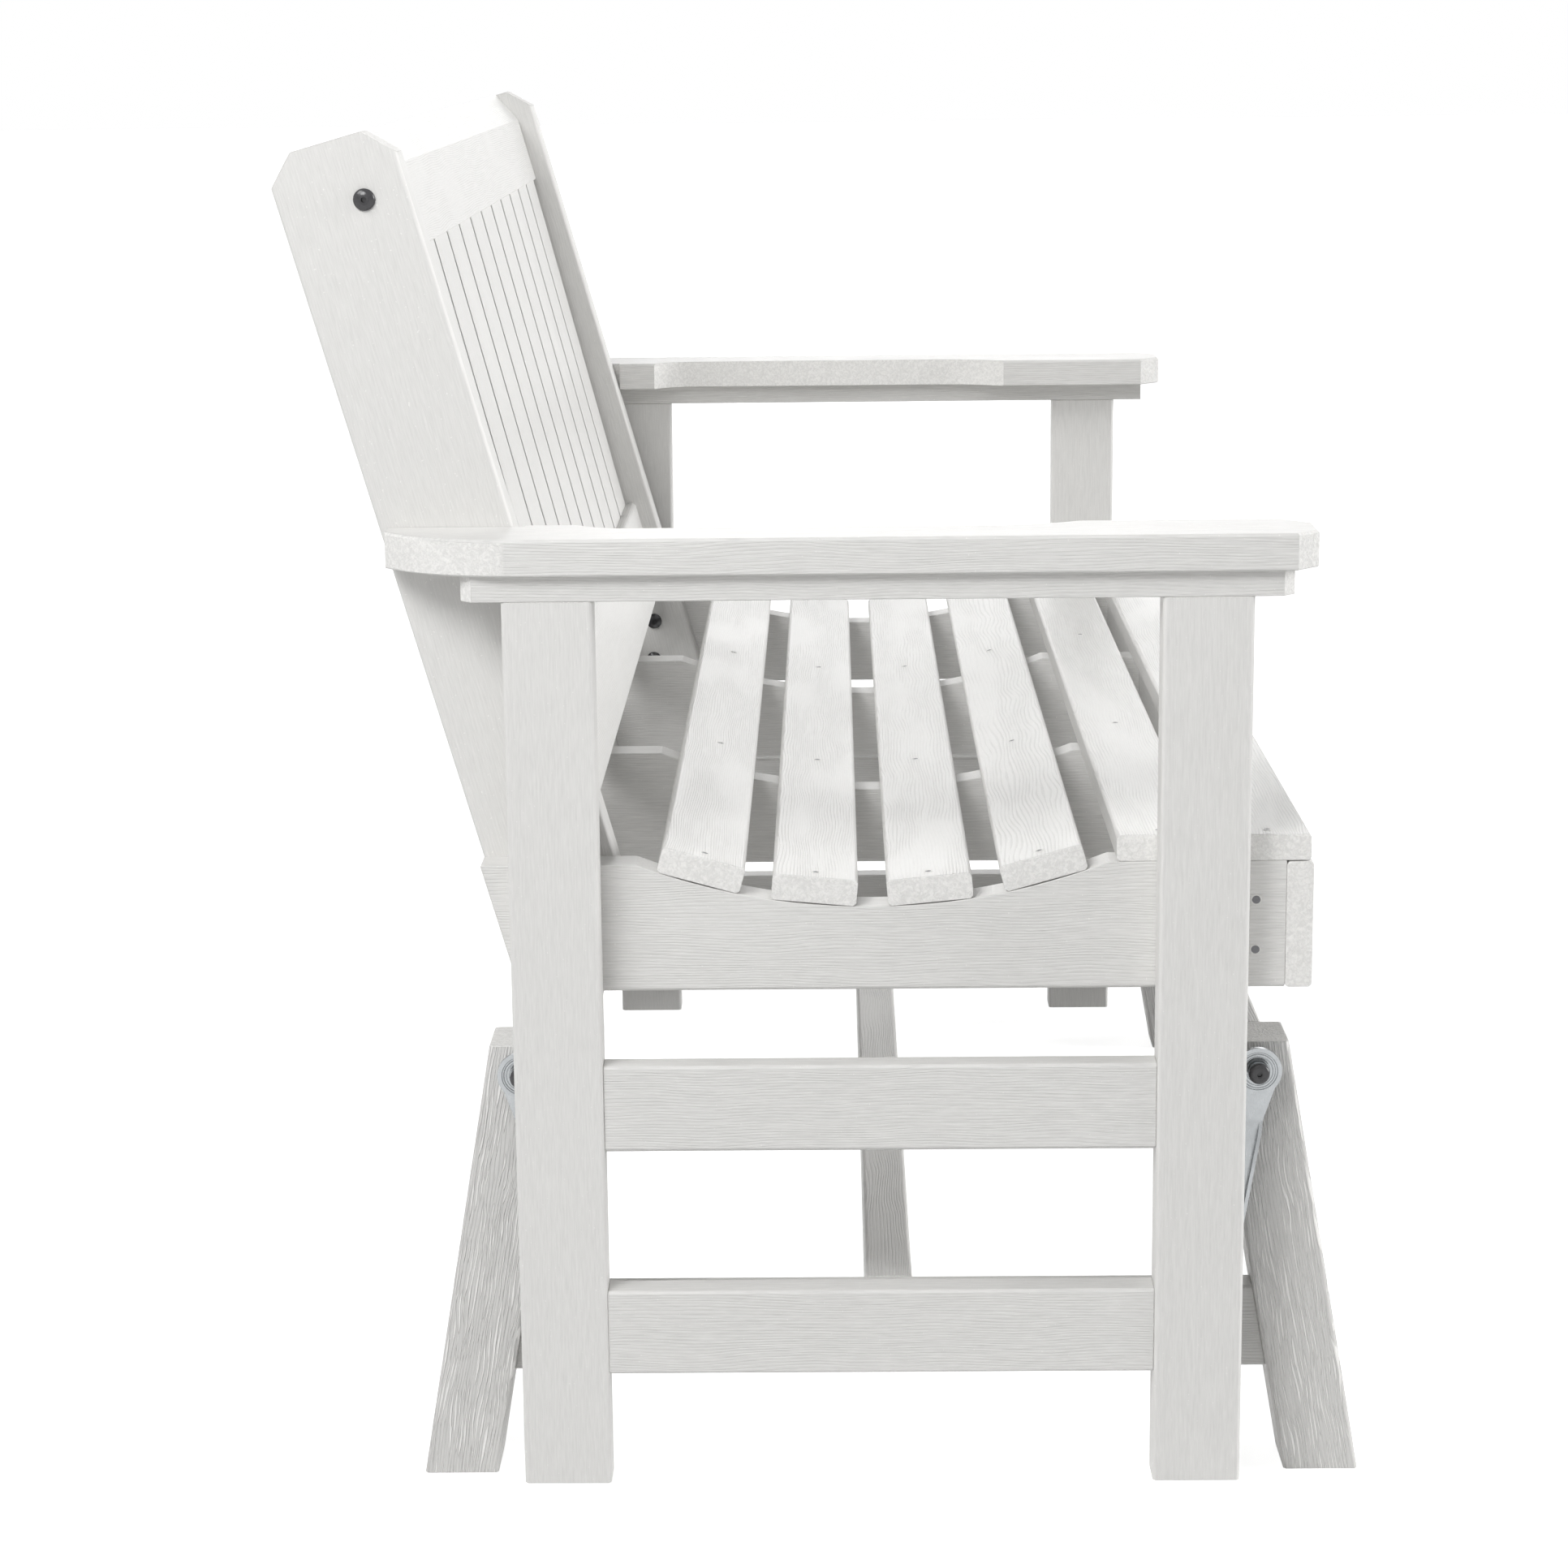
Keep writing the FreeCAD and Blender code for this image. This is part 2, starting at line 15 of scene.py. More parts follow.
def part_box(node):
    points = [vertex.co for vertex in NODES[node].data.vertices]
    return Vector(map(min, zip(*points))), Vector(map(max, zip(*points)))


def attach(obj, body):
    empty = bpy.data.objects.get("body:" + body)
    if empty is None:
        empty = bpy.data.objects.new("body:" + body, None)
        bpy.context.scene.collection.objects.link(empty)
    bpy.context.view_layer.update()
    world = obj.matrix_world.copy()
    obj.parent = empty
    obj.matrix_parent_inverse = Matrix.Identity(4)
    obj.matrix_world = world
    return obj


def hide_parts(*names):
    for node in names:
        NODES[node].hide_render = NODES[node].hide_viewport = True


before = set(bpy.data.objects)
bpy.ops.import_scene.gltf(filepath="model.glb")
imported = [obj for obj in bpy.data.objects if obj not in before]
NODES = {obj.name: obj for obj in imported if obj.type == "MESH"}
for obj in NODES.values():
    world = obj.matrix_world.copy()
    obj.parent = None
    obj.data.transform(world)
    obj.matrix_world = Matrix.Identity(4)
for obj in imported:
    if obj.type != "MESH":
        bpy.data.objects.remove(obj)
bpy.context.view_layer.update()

bl_info = {
    "name": "Glider Bench Finish",
    "version": (1, 0, 0),
    "blender": (4, 5, 0),
    "location": "View3D > Sidebar > Glider Bench",
    "description": "Plastic lumber, glider hardware and stage for a porch glider bench",
    "category": "Object",
}

MM = 0.001

SIDES = ("left", "right")
ENDS = ("front", "rear")
CORNERS = [(end, side) for end in ENDS for side in SIDES]
SEAT_SLATS = 6
BACK_SLATS = 12

# Ways that a board's grain runs
LENGTHWISE = (1, 0, 0)
FRONT_TO_BACK = (0, 1, 0)
UPRIGHT = (0, 0, 1)


# ---------------------------------------------------------------- settings


class LumberSettings(bpy.types.PropertyGroup):
    """Colour and embossed grain of the white plastic boards"""

    colour: FloatVectorProperty(
        name="Board colour",
        description="Colour of the boards",
        subtype="COLOR",
        size=3,
        min=0.0,
        max=1.0,
        default=(0.75, 0.744, 0.727),
    )
    roughness: FloatProperty(
        name="Roughness",
        description="Roughness of the boards' skin",
        subtype="FACTOR",
        min=0.0,
        max=1.0,
        default=0.38,
    )
    depth: FloatProperty(
        name="Emboss depth",
        description="Depth of the deepest grain lines",
        unit="LENGTH",
        min=0.0,
        max=0.003,
        default=0.0006,
    )
    edge: FloatProperty(
        name="Edge rounding",
        description="Width of the soft rounding on every board edge",
        unit="LENGTH",
        min=0.0001,
        max=0.002,
        default=0.0008,
    )


class HardwareSettings(bpy.types.PropertyGroup):
    """Colours and smoothness of the glider arms, bolts and screws"""

    zinc: FloatVectorProperty(
        name="Zinc",
        description="Colour of the plated glider arms",
        subtype="COLOR",
        size=3,
        min=0.0,
        max=1.0,
        default=(0.38, 0.395, 0.405),
    )
    bolt: FloatVectorProperty(
        name="Bolts",
        description="Colour of the coated bolts",
        subtype="COLOR",
        size=3,
        min=0.0,
        max=1.0,
        default=(0.035, 0.034, 0.037),
    )
    screw: FloatVectorProperty(
        name="Screws",
        description="Colour of the small screws",
        subtype="COLOR",
        size=3,
        min=0.0,
        max=1.0,
        default=(0.13, 0.13, 0.135),
    )
    segments: IntProperty(
        name="Segments",
        description="Facets round a bolt head",
        min=12,
        max=96,
        default=36,
    )


class StageSettings(bpy.types.PropertyGroup):
    """Lamps, surrounding light and floor"""

    key: FloatProperty(
        name="Key lamp",
        description="Strength of the high lamp behind the near end",
        min=0.0,
        default=1.1,
    )
    near: FloatProperty(
        name="Near lamp",
        description="Strength of the lamp before the near end",
        min=0.0,
        default=0.45,
    )
    wash: FloatProperty(
        name="Wash lamp",
        description="Power of the soft lamp beside the near end",
        subtype="POWER",
        min=0.0,
        default=33.0,
    )
    front: FloatProperty(
        name="Front lamp",
        description="Strength of the low lamp in front",
        min=0.0,
        default=2.25,
    )
    end: FloatProperty(
        name="End lamp",
        description="Strength of the low lamp past the far end",
        min=0.0,
        default=0.5,
    )
    sky: FloatProperty(
        name="Surrounding light",
        description="Strength of the even light from all round",
        min=0.0,
        default=0.16,
    )
    floor: FloatVectorProperty(
        name="Floor",
        description="Colour of the floor",
        subtype="COLOR",
        size=3,
        min=0.0,
        max=1.0,
        default=(0.8, 0.8, 0.8),
    )
    glow: FloatProperty(
        name="Floor glow",
        description="Brightness that the floor shows besides the lamps' light",
        min=0.0,
        max=1.0,
        default=0.75,
    )


# ---------------------------------------------------------------- materials


class Web:
    """Node tree of a material or world, with short calls to add and link."""

    def __init__(self, owner):
        self.owner = owner
        owner.use_nodes = True
        self.tree = owner.node_tree
        self.tree.nodes.clear()
        kind = "World" if isinstance(owner, bpy.types.World) else "Material"
        self.out = self.add("ShaderNodeOutput" + kind)

    def add(self, kind, **values):
        node = self.tree.nodes.new(kind)
        for key, value in values.items():
            setattr(node, key, value)
        return node

    def feed(self, socket, value):
        if isinstance(value, bpy.types.NodeSocket):
            self.tree.links.new(value, socket)
        else:
            socket.default_value = value

    def seen(self):
        """1 for rays that see the stage itself or its mirror image."""
        rays = self.add("ShaderNodeLightPath")
        kinds = ("Is Camera Ray", "Is Glossy Ray", "Is Transmission Ray")
        camera, glossy, through = (rays.outputs[kind] for kind in kinds)
        return self.math("MAXIMUM", self.math("MAXIMUM", camera, glossy), through)

    def math(self, operation, a, b=0.0):
        node = self.add("ShaderNodeMath", operation=operation)
        self.feed(node.inputs[0], a)
        self.feed(node.inputs[1], b)
        return node.outputs[0]

    def plus(self, base, value, amount):
        """A base with an amount of the value on top."""
        return self.math("ADD", base, self.math("MULTIPLY", value, amount))

    def dot(self, vector, axis):
        node = self.add("ShaderNodeVectorMath", operation="DOT_PRODUCT")
        self.feed(node.inputs[0], vector)
        node.inputs[1].default_value = axis
        return node.outputs["Value"]

    def combine(self, x, y, z):
        node = self.add("ShaderNodeCombineXYZ")
        for socket, value in zip(node.inputs, (x, y, z)):
            self.feed(socket, value)
        return node.outputs[0]

    def noise(self, place, scale, detail=2.0, roughness=0.5, distortion=0.0):
        """Noise over a place, with its own scale each way."""
        stretch = self.add("ShaderNodeVectorMath", operation="MULTIPLY")
        self.feed(stretch.inputs[0], place)
        stretch.inputs[1].default_value = scale
        node = self.add("ShaderNodeTexNoise")
        self.feed(node.inputs["Vector"], stretch.outputs[0])
        node.inputs["Scale"].default_value = 1.0
        node.inputs["Detail"].default_value = detail
        node.inputs["Roughness"].default_value = roughness
        node.inputs["Distortion"].default_value = distortion
        return node.outputs["Fac"]

    def ramp(self, value, low, high):
        node = self.add("ShaderNodeMapRange", interpolation_type="SMOOTHSTEP")
        self.feed(node.inputs["Value"], value)
        node.inputs["From Min"].default_value = low
        node.inputs["From Max"].default_value = high
        return node.outputs["Result"]

    def mix(self, factor, a, b):
        node = self.add("ShaderNodeMix", data_type="FLOAT")
        self.feed(node.inputs[0], factor)
        self.feed(node.inputs[2], a)
        self.feed(node.inputs[3], b)
        return node.outputs[0]

    def tint(self, colour, factor):
        node = self.add("ShaderNodeMix", data_type="RGBA", blend_type="MULTIPLY")
        node.inputs[0].default_value = 1.0
        node.inputs[6].default_value = (*colour, 1.0)
        self.feed(node.inputs[7], self.combine(factor, factor, factor))
        return node.outputs[2]

    def bump(self, height, distance):
        node = self.add("ShaderNodeBump")
        self.feed(node.inputs["Height"], height)
        node.inputs["Distance"].default_value = distance
        node.inputs["Strength"].default_value = 1.0
        return node.outputs["Normal"]

    def shader(self, colour, roughness, normal, metallic=0.0, gloss=0.5):
        node = self.add("ShaderNodeBsdfPrincipled")
        node.inputs["Specular IOR Level"].default_value = gloss
        self.feed(node.inputs["Base Color"], colour)
        self.feed(node.inputs["Roughness"], roughness)
        self.feed(node.inputs["Normal"], normal)
        node.inputs["Metallic"].default_value = metallic
        self.feed(self.out.inputs["Surface"], node.outputs[0])
        return self.owner


# How strongly each pattern shows on a kind of board: wrinkles, with painted
# shade in their grooves, the share of the board that they cover, raised bark
# lines with a painted highlight on them, fine streaks
LUMBER_SKINS = {
    "slat": (0.65, 0.7, 0.0, 0.5),
    "leg": (0.45, 1.0, 1.0, 0.9),
    "rail": (0.35, 1.0, 0.0, 1.2),
    "post": (0.05, 0.8, 0.0, 1.0),
    "stile": (0.08, 0.7, 0.06, 0.9),
    "back": (0.35, 0.8, 0.0, 0.6),
}

# Embossed lines: pitch in metres, how far they sway, reach of a bend in metres,
# weight of the gaps in a line, and the two levels between which a line rises
WRINKLES = (2.2 * MM, 24.0, 0.08, 2.0, 0.2, 1.0)
BARK_LINES = (2.8 * MM, 16.0, 0.045, 4.6, 0.4, 0.9)

# A line has more bends across the board than along it. Its quivers and gaps
# come so often for each bend, and have a scale of their own across the lines
BENDS_ACROSS = 3.5
QUIVERS, QUIVER_SCALE, QUIVER_SWAY = 3, 90, 2.6
GAPS, GAP_SCALE = 1.8, 240

# Noise of each pattern: its scale along the grain, across it and through the
# board, then as far as they are given its detail, roughness and distortion
PATCHES = ((6, 22, 22), 1.0)
GRIT = ((55, 800, 800), 2.0, 0.7)
DRIFT = ((4, 12, 12), 2.0)

# The same with its scale along X, Y and Z
CORE = ((420, 420, 420), 3.0, 0.7, 0.8)
SWIRL = ((150, 150, 150), 2.0, 0.6, 2.5)
SPECKS = ((640, 640, 640), 0.0)
PLATE_CLOUDS = ((140, 140, 140), 3.0, 0.6)
PLATE_STREAKS = ((900, 900, 120), 2.0)
COAT_PEEL = ((1500, 1500, 1500), 2.0)
COAT_DUST = ((260, 260, 260), 3.0, 0.6)

# The two levels between which a pattern fades in
PATCH_LEVELS = (0.62, 0.8)
SPECK_LEVELS = (0.80, 0.86)
FLECK_LEVELS = (0.7, 1.15)
PATCH_COVER = 0.4  # full cover lowers the levels of the patches by this
PATCH_FLOOR = 0.25  # share of the wrinkles left between the patches
SWIRL_SHARE = 0.8  # of the swirl in the core, beside the fine noise

# A face is sawn where it looks along the grain by this much, and no wall where
# it looks up or down by this much
GRAINWARD = (0.3, 0.42)
UPWARD = (0.3, 0.6)
RECESS_FADE = 0.8 * MM
CURVE_FADE = 4 * MM

# How far each pattern raises a board's face, as a share of the emboss depth
RELIEF = {"wrinkle": -0.55, "bark": 1.1, "grit": 0.28, "core": 0.9}
PLATE_RELIEF = 0.05 * MM
COAT_RELIEF = 0.03 * MM

# Tone of each ground before its patterns, and how much each of them lightens it
TONE = {"skin": 0.985, "bark_ground": -0.08, "core": 1.04, "plate": 0.86, "coat": 0.7}
LIGHTEN = {
    # painted shade in the wrinkles' grooves
    "wrinkle": -0.13,
    # painted highlight on the raised bark lines
    "bark": 0.28,
    "grit": 0.24,
    "drift": 0.03,
    "speck": 0.16,
    "fleck": 0.18,
    "cloud": 0.26,
    "dust": 0.9,
}

# Roughness of each finish before its patterns, and how much they roughen it
ROUGHNESS = {
    "core": 0.8,
    "bolt_coating": 0.1,
    "zinc_plate": 0.2,
    "bearing_steel": 0.12,
    "collar_zinc": 0.22,
    "screw_steel": 0.3,
}
ROUGHEN = {"grit": 0.12, "streak": 0.18, "dust": 0.14}
LUMBER_GLOSS = 0.3
BOARD_SHIFT = 7.0  # the most that the grain moves from board to board


def grain_space(web, place, grain):
    """Place measured along the grain, across it and through the board, other
    for each board, and the way round the board that counts the lines."""
    info = web.add("ShaderNodeObjectInfo")
    shift = web.math("MULTIPLY", info.outputs["Random"], BOARD_SHIFT)
    across = Vector(LENGTHWISE if abs(grain.x) < 0.5 else FRONT_TO_BACK)
    through = grain.cross(across)
    spot = web.combine(
        web.math("ADD", web.dot(place, grain), shift),
        web.math("ADD", web.dot(place, across), shift),
        web.dot(place, through),
    )
    girth = web.math("ADD", web.dot(place, across), web.dot(place, through))
    return spot, girth


def stripes(web, spot, girth, pitch, sway, reach, gaps, low, high):
    """Thin wavy lines along the grain, broken into lengths."""
    across = BENDS_ACROSS / reach
    bend = web.noise(spot, (1 / reach, across, across), 0.0)
    quiver = web.noise(spot, (QUIVERS / reach, QUIVER_SCALE, QUIVER_SCALE), 1.0)
    bend = web.plus(web.math("MULTIPLY", bend, sway), quiver, QUIVER_SWAY)
    phase = web.math("MULTIPLY", girth, 2 * math.pi / pitch)
    wave = web.math("SINE", web.math("ADD", phase, bend))
    gate = web.noise(spot, (GAPS / reach, GAP_SCALE, GAP_SCALE), 1.0)
    gate = web.math("SUBTRACT", gate, 0.5)
    return web.ramp(web.plus(wave, gate, gaps), low, high)


def sawn_faces(web, coords, grain, sawn):
    """1 on the faces that show the core: those that look along the grain, and
    those that sawn, (inner x, outer x, rear y) of an armrest in metres, leaves
    between its straight edges."""
    place, normal = coords.outputs["Object"], coords.outputs["Normal"]
    facing = web.math("ABSOLUTE", web.dot(normal, grain))
    end = web.ramp(facing, *GRAINWARD)
    if not sawn:
        return end
    inner, outer, rear = sawn
    reach = web.math("ABSOLUTE", web.dot(place, LENGTHWISE))
    level = web.math("ABSOLUTE", web.dot(normal, UPRIGHT))
    upright = web.math("SUBTRACT", 1.0, web.ramp(level, *UPWARD))
    inside = web.ramp(reach, inner, inner + RECESS_FADE)
    nearer = web.math("LESS_THAN", reach, (inner + outer) / 2)
    inside = web.math("MULTIPLY", inside, nearer)
    behind = web.ramp(web.dot(place, FRONT_TO_BACK), rear, rear + CURVE_FADE)
    wall = web.math("MULTIPLY", upright, web.math("MAXIMUM", inside, behind))
    return web.math("MAXIMUM", end, wall)


def lumber(name, grain, skin, sawn=None):
    """Plastic lumber with its grain along a direction, and a rough core on its
    sawn faces."""
    look = bpy.context.scene.bench_lumber
    wrinkle, cover, bark, streak = LUMBER_SKINS[skin]
    grain = Vector(grain).normalized()
    web = Web(bpy.data.materials.new(name))
    coords = web.add("ShaderNodeTexCoord")
    place = coords.outputs["Object"]
    spot, girth = grain_space(web, place, grain)

    # Embossed skin: wrinkles in patches, raised bark lines, fine grit
    low, high = (level - PATCH_COVER * cover for level in PATCH_LEVELS)
    patch = web.ramp(web.noise(spot, *PATCHES), low, high)
    patch = web.plus(PATCH_FLOOR, patch, 1 - PATCH_FLOOR)
    dark = web.math("MULTIPLY", stripes(web, spot, girth, *WRINKLES), patch)
    height = web.math("MULTIPLY", dark, RELIEF["wrinkle"] * wrinkle)
    if bark:
        light = stripes(web, spot, girth, *BARK_LINES)
        height = web.plus(height, light, RELIEF["bark"] * bark)
    grit = web.noise(spot, *GRIT)
    height = web.plus(height, grit, RELIEF["grit"] * streak)

    # Mottled core of the sawn faces
    end = sawn_faces(web, coords, grain, sawn)
    core = web.noise(place, *CORE)
    core = web.plus(core, web.noise(place, *SWIRL), SWIRL_SHARE)
    height = web.mix(end, height, web.math("MULTIPLY", core, RELIEF["core"]))

    # Colour: a slow drift, painted shade in the wrinkles' grooves, a painted
    # highlight on the raised bark lines, bright specks
    ground = TONE["skin"] + TONE["bark_ground"] * bark
    shade = web.plus(ground, web.noise(spot, *DRIFT), LIGHTEN["drift"])
    # Painted shade: the wrinkles' grooves are coloured darker than the skin around them
    lines = web.math("MULTIPLY", dark, LIGHTEN["wrinkle"] * wrinkle)
    # Painted highlight: the raised bark lines are coloured paler than the ground
    if bark:
        lines = web.plus(lines, light, LIGHTEN["bark"] * bark)
    shade = web.math("ADD", shade, lines)
    fine = web.math("SUBTRACT", grit, 0.5)
    shade = web.plus(shade, fine, LIGHTEN["grit"] * streak)
    speck = web.ramp(web.noise(place, *SPECKS), *SPECK_LEVELS)
    shade = web.plus(shade, speck, LIGHTEN["speck"])
    fleck = web.ramp(core, *FLECK_LEVELS)
    tone = web.mix(end, shade, web.plus(TONE["core"], fleck, LIGHTEN["fleck"]))

    rough = web.plus(look.roughness, grit, ROUGHEN["grit"])
    rough = web.mix(end, rough, ROUGHNESS["core"])
    normal = web.bump(height, look.depth)
    return web.shader(web.tint(look.colour, tone), rough, normal, gloss=LUMBER_GLOSS)


def plated(name, colour):
    """Plated steel with faint streaks and a soft mottle."""
    web = Web(bpy.data.materials.new(name))
    place = web.add("ShaderNodeTexCoord").outputs["Object"]
    cloud = web.noise(place, *PLATE_CLOUDS)
    streak = web.noise(place, *PLATE_STREAKS)
    tone = web.plus(TONE["plate"], cloud, LIGHTEN["cloud"])
    rough = web.plus(ROUGHNESS[name], streak, ROUGHEN["streak"])
    normal = web.bump(web.math("ADD", streak, cloud), PLATE_RELIEF)
    return web.shader(web.tint(colour, tone), rough, normal, metallic=1.0)


def coated(name, colour):
    """Black coated steel with dusty patches and a slight orange peel."""
    web = Web(bpy.data.materials.new(name))
    place = web.add("ShaderNodeTexCoord").outputs["Object"]
    peel = web.noise(place, *COAT_PEEL)
    dust = web.noise(place, *COAT_DUST)
    tone = web.plus(TONE["coat"], dust, LIGHTEN["dust"])
    rough = web.plus(ROUGHNESS[name], dust, ROUGHEN["dust"])
    return web.shader(web.tint(colour, tone), rough, web.bump(peel, COAT_RELIEF))


# ---------------------------------------------------------------- CAD nodes


WELD_GAP = 0.01 * MM  # points this close are one corner
BOARD_EDGE = 20  # least angle in degrees of an edge that is rounded
STEEL_CREASE = 32  # least angle in degrees of a sharp edge in sheet steel
FACE_WEIGHT = 80  # how far a board's wide faces rule its shading
END_DEPTH = 0.2 * MM  # points this near a bolt's end belong to it
SLAT_TILT = 0.3  # a slat's upper face looks up by more than this
FLATNESS = 0.05 * MM  # points this near a slat's upper face belong to it


def dress(node, material):
    """A carried over node takes its material, and its facets are welded."""
    obj = NODES[node]
    mesh = obj.data
    if "custom_normal" in mesh.attributes:
        mesh.attributes.remove(mesh.attributes["custom_normal"])
    mesh.materials.clear()
    mesh.materials.append(material)
    mesh.polygons.foreach_set("use_smooth", [True] * len(mesh.polygons))
    weld = obj.modifiers.new("Weld", "WELD")
    weld.merge_threshold = WELD_GAP
    return obj


def dress_board(node, material, rounder=1.0):
    """A board, its edges softly rounded by a multiple of the usual width."""
    obj = dress(node, material)
    bevel = obj.modifiers.new("Round", "BEVEL")
    bevel.width = bpy.context.scene.bench_lumber.edge * rounder
    bevel.segments = 2 if rounder == 1 else 4
    bevel.limit_method = "ANGLE"
    bevel.angle_limit = math.radians(BOARD_EDGE)
    bevel.use_clamp_overlap = True
    normals = obj.modifiers.new("Normals", "WEIGHTED_NORMAL")
    normals.weight = FACE_WEIGHT


def dress_boards(material, *patterns):
    """The boards of name patterns, in which SIDE and END stand for both."""
    for pattern in patterns:
        for end in ENDS if "END" in pattern else ("",):
            for side in SIDES if "SIDE" in pattern else ("",):
                name = pattern.replace("END", end).replace("SIDE", side)
                dress_board(name, material)


def dress_steel(node, material):
    """A steel node, whose curved walls shade smoothly."""
    obj = dress(node, material)
    split = obj.modifiers.new("Creases", "EDGE_SPLIT")
    split.split_angle = math.radians(STEEL_CREASE)


def lean(node, depth):
    """How far a node leans to the rear for each metre of height, by the front
    of its foot and of its top, each taken over a depth."""
    points = [vertex.co for vertex in NODES[node].data.vertices]
    low = min(point.z for point in points)
    high = max(point.z for point in points)
    foot = min(point.y for point in points if point.z < low + depth)
    top = min(point.y for point in points if point.z > high - depth)
    return (top - foot) / (high - low)


def solids(bm):
    """Corner points of each separate solid of a mesh."""
    left = set(bm.verts)
    while left:
        stack = [left.pop()]
        points = []
        while stack:
            vert = stack.pop()
            points.append(vert.co.copy())
            for edge in vert.link_edges:
                other = edge.other_vert(vert)
                if other in left:
                    left.remove(other)
                    stack.append(other)
        yield np.array(points)


def bolt_seats(node):
    """(head's outer centre, way into the board, length) of each bolt of a node.
    The head is at the wider end."""
    bm = bmesh.new()
    bm.from_mesh(NODES[node].data)
    bmesh.ops.remove_doubles(bm, verts=bm.verts, dist=WELD_GAP)
    seats = []
    for points in solids(bm):
        middle = points.mean(0)
        axis = np.linalg.eigh(np.cov((points - middle).T))[1][:, -1]
        reach = (points - middle) @ axis
        ends = []
        for sign in (1, -1):
            rim = points[sign * reach > (sign * reach).max() - END_DEPTH]
            radius = np.linalg.norm(rim - rim.mean(0), axis=1).max()
            ends.append((radius, rim.mean(0), -sign * axis))
        _, centre, way = max(ends, key=lambda end: end[0])
        length = float(reach.max() - reach.min())
        seats.append((Vector(centre), Vector(way), length))
    bm.free()
    seats.sort(key=lambda seat: tuple(round(c, 4) for c in seat[0]))
    return seats


def top_face(node):
    """Middle and outward way of a slat's wide upper face."""
    mesh = NODES[node].data
    upper = [face for face in mesh.polygons if face.normal.z > SLAT_TILT]
    normal = max(upper, key=lambda face: face.area).normal.copy()
    points = [vertex.co for vertex in mesh.vertices]
    level = max(normal.dot(point) for point in points)
    flat = [point for point in points if normal.dot(point) > level - FLATNESS]
    return sum(flat, Vector()) / len(flat), normal


# ---------------------------------------------------------------- new pieces


MERGE_GAP = 0.001 * MM  # points this close are one corner of a turned piece
TURNED_CREASE = 35  # least angle in degrees of a sharp edge
BEARING_CREASE = 25
SHANK_RADIUS = 3.2  # of the bolts through the boards
PIVOT_SHANK_RADIUS = 4.2
SHANK_TIP = 0.8  # broken edge at a shank's end
DOME_STEPS = 6
DOME_FROM, DOME_TO = 14, 80  # degrees from the middle of a domed head
DOME_RADIUS, DOME_HEIGHT, DOME_TOP = 7.7, 3.3, -0.02
SCREW_SEGMENTS = 24


def aim(centre, way):
    """Matrix whose Z runs along way and whose origin is centre."""
    turn = way.to_track_quat("Z", "Y").to_matrix().to_4x4()
    return Matrix.Translation(centre) @ turn


def ring_points(segments, radius, height, sides=0):
    """Points of a ring in millimetres: round, or with so many sides whose
    corners reach the radius, or one point where the radius is 0."""
    radius, height = radius * MM, height * MM
    if radius == 0:
        return [Vector((0, 0, height))]
    points = []
    for i in range(segments):
        angle = 2 * math.pi * i / segments
        r = radius
        if sides:
            step = 2 * math.pi / sides
            r = radius * math.cos(step / 2) / math.cos(angle % step - step / 2)
        points.append(Vector((r * math.cos(angle), r * math.sin(angle), height)))
    return points


def add_lathe(bm, matrix, rings, segments, skin=0):
    """A profile turned about Z. Its rings are (radius, height) or (radius,
    height, sides), in millimetres."""
    loops = []
    for ring in rings:
        points = ring_points(segments, *ring)
        loops.append([bm.verts.new(matrix @ point) for point in points])
    for a, b in zip(loops, loops[1:]):
        for i in range(segments):
            j = (i + 1) % segments
            corners = (a[i % len(a)], a[j % len(a)], b[j % len(b)], b[i % len(b)])
            face = bm.faces.new(list(dict.fromkeys(corners)))
            face.material_index = skin


def finish_piece(name, bm, materials, body, crease=TURNED_CREASE):
    """Turns mesh work into a named piece that rides on a body."""
    bmesh.ops.remove_doubles(bm, verts=bm.verts, dist=MERGE_GAP)
    bmesh.ops.recalc_face_normals(bm, faces=bm.faces)
    mesh = bpy.data.meshes.new(name)
    bm.to_mesh(mesh)
    bm.free()
    for material in materials:
        mesh.materials.append(material)
    obj = bpy.data.objects.new(name, mesh)
    bpy.context.scene.collection.objects.link(obj)
    mesh.polygons.foreach_set("use_smooth", [True] * len(mesh.polygons))
    mesh.set_sharp_from_angle(angle=math.radians(crease))
    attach(obj, body)
    return obj


# Z runs into the board from the top of a bolt's head, and every ring is in
# millimetres


def shank(radius, start, length):
    """Rings of a plain shank down to its closed end."""
    tip = [(radius, length - SHANK_TIP), (radius - SHANK_TIP, length), (0, length)]
    return [(radius, start)] + tip


def button_bolt(bm, matrix, segments, length):
    """Domed head with a hexagon socket."""
    rings = [(0, 2.4), (2.7, 2.4, 6), (2.8, 0.25, 6), (3.2, 0.0)]
    for step in range(DOME_STEPS + 1):
        angle = math.radians(DOME_FROM + (DOME_TO - DOME_FROM) * step / DOME_STEPS)
        depth = DOME_HEIGHT * (1 - math.cos(angle)) + DOME_TOP
        rings.append((DOME_RADIUS * math.sin(angle), depth))
    rings += [(7.6, 3.1), (7.6, 3.9), (7.4, 4.0)]
    add_lathe(bm, matrix, rings + shank(SHANK_RADIUS, 4.0, length), segments)


def flat_bolt(bm, matrix, segments, length):
    """Thin flat head with a small hexagon socket."""
    rings = [(0, 0.6), (1.9, 0.6, 6), (1.95, 0.08, 6), (2.2, 0.0), (4.5, 0.04)]
    rings += [(5.0, 0.2), (5.2, 0.45), (5.2, 0.7)]
    add_lathe(bm, matrix, rings + shank(SHANK_RADIUS, 0.7, length), segments)


